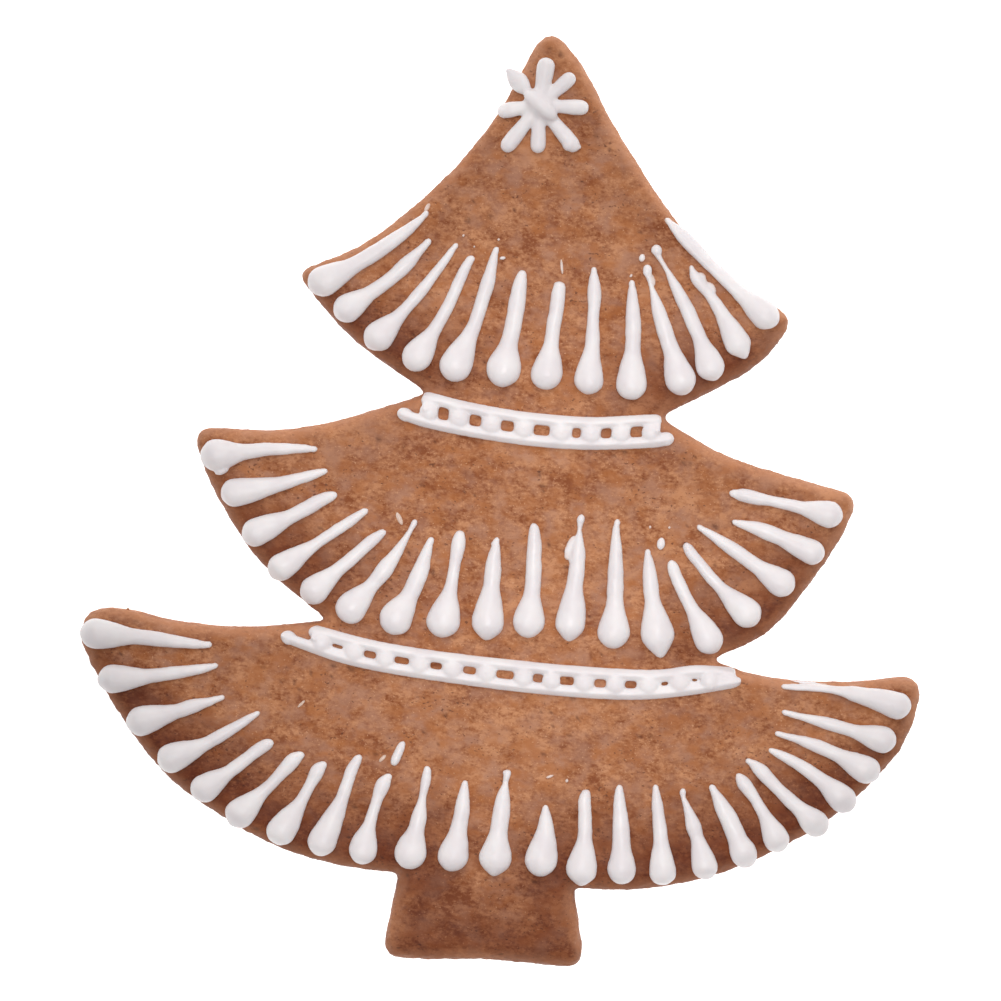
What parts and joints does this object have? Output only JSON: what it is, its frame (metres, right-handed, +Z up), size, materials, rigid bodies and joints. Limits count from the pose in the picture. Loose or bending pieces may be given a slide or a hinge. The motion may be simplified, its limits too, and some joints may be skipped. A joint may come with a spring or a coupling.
{
  "type": "gingerbread christmas tree cookie",
  "caption": "Flat tree-shaped gingerbread cookie with three tiers and a trunk, edged with piped white icing drops, two ladder bands and a star.",
  "frame": {"origin": "middle of the cookie's box, on the surface that it lies on", "axes": "+X to the tree's right, +Y to the tree's top, +Z up out of the decorated face"},
  "size_m": [0.1356, 0.15, 0.008],
  "materials": {
    "gingerbread": "matt, baked, slightly rough",
    "royal_icing": "satin, set"
  },
  "bodies": {
    "root": {"biscuit": "gingerbread", "bottom_dash": "royal_icing", "bottom_drop_01": "royal_icing", "bottom_drop_02": "royal_icing", "bottom_drop_03": "royal_icing", "bottom_drop_04": "royal_icing", "bottom_drop_05": "royal_icing", "bottom_drop_06": "royal_icing", "bottom_drop_07": "royal_icing", "bottom_drop_08": "royal_icing", "bottom_drop_09": "royal_icing", "bottom_drop_10": "royal_icing", "bottom_drop_11": "royal_icing", "bottom_drop_12": "royal_icing", "bottom_drop_13": "royal_icing", "bottom_drop_14": "royal_icing", "bottom_drop_15": "royal_icing", "bottom_drop_16": "royal_icing", "bottom_drop_17": "royal_icing", "bottom_drop_18": "royal_icing", "bottom_drop_19": "royal_icing", "bottom_drop_20": "royal_icing", "bottom_drop_21": "royal_icing", "bottom_drop_22": "royal_icing", "bottom_drop_23": "royal_icing", "bottom_drop_24": "royal_icing", "lower_band": "royal_icing", "middle_drop_01": "royal_icing", "middle_drop_02": "royal_icing", "middle_drop_03": "royal_icing", "middle_drop_04": "royal_icing", "middle_drop_05": "royal_icing", "middle_drop_06": "royal_icing", "middle_drop_07": "royal_icing", "middle_drop_08": "royal_icing", "middle_drop_09": "royal_icing", "middle_drop_10": "royal_icing", "middle_drop_11": "royal_icing", "middle_drop_12": "royal_icing", "middle_drop_13": "royal_icing", "middle_drop_14": "royal_icing", "middle_drop_15": "royal_icing", "middle_drop_16": "royal_icing", "middle_drop_17": "royal_icing", "middle_drop_18": "royal_icing", "star": "royal_icing", "top_drop_01": "royal_icing", "top_drop_02": "royal_icing", "top_drop_03": "royal_icing", "top_drop_04": "royal_icing", "top_drop_05": "royal_icing", "top_drop_06": "royal_icing", "top_drop_07": "royal_icing", "top_drop_08": "royal_icing", "top_drop_09": "royal_icing", "top_drop_10": "royal_icing", "top_drop_11": "royal_icing", "top_drop_12": "royal_icing", "top_drop_13": "royal_icing", "upper_band": "royal_icing"}
  },
  "joints": []
}
